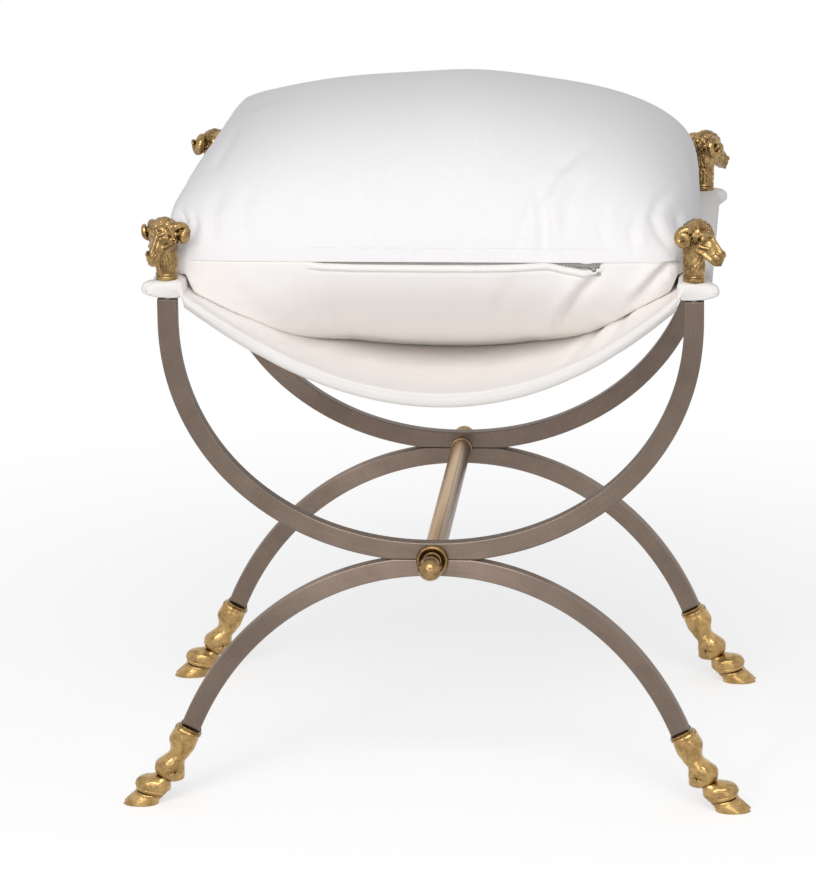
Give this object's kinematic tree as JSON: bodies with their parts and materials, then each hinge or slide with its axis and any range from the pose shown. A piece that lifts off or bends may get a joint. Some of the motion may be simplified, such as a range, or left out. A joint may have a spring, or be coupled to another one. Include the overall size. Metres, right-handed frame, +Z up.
{
  "type": "stool",
  "caption": "X-frame stool of steel arcs set back to back, with a canvas sling seat, a loose cushion, brass hooves and ram's head finials.",
  "frame": {"origin": "on the floor under the middle of the stool's box", "axes": "+X to the right across the front, +Y to the back along the stretcher, +Z up"},
  "size_m": [0.5108, 0.4374, 0.574],
  "materials": {
    "steel": "satin, brushed along the bar",
    "brass": "cast, polished, with a dark patina in the recesses",
    "satin_brass": "satin",
    "zinc": "zinc plated",
    "canvas": "plain-woven canvas",
    "cotton": "plain-woven cotton",
    "nylon": "woven tape with a moulded coil",
    "zip_metal": "die cast"
  },
  "bodies": {
    "frame": {"front_upper_arc": "steel", "back_upper_arc": "steel", "front_lower_arc": "steel", "back_lower_arc": "steel", "stretcher_tube": "satin_brass", "tie_rod": "zinc", "knob_ring_front": "brass", "ball_knob_front": "brass", "tube_collar_front": "satin_brass", "knob_ring_back": "brass", "ball_knob_back": "brass", "tube_collar_back": "satin_brass", "hoof_front_left": "brass", "hoof_screw_front_left": "zinc", "hoof_front_right": "brass", "hoof_screw_front_right": "zinc", "hoof_back_left": "brass", "hoof_screw_back_left": "zinc", "hoof_back_right": "brass", "hoof_screw_back_right": "zinc", "post_stud_front_left": "zinc", "post_stud_front_right": "zinc", "post_stud_back_left": "zinc", "post_stud_back_right": "zinc", "side_rail_left": "steel", "side_rail_right": "steel", "ram_head_front_left": "brass", "ram_head_front_right": "brass", "ram_head_back_left": "brass", "ram_head_back_right": "brass", "seat_sling": "canvas"},
    "cushion": {"cushion_cover": "cotton", "cushion_insert": "cotton", "zip_tape": "nylon"},
    "zip_slider": {"zip_slider": "zip_metal"},
    "zip_pull": {"zip_pull": "zip_metal"}
  },
  "joints": [
    {"name": "cushion_lift", "type": "slide", "parent": "frame", "child": "cushion", "axis": [0, 0, 1], "range_m": [0, 0.2]},
    {"name": "zip_slide", "type": "slide", "parent": "cushion", "child": "zip_slider", "axis": [-1, 0, 0], "range_m": [0, 0.2]},
    {"name": "pull_swing", "type": "hinge", "parent": "zip_slider", "child": "zip_pull", "pos_m": [0.1305, -0.16665, 0.4505], "axis": [0, 0, 1], "range_deg": [0, 100]}
  ]
}
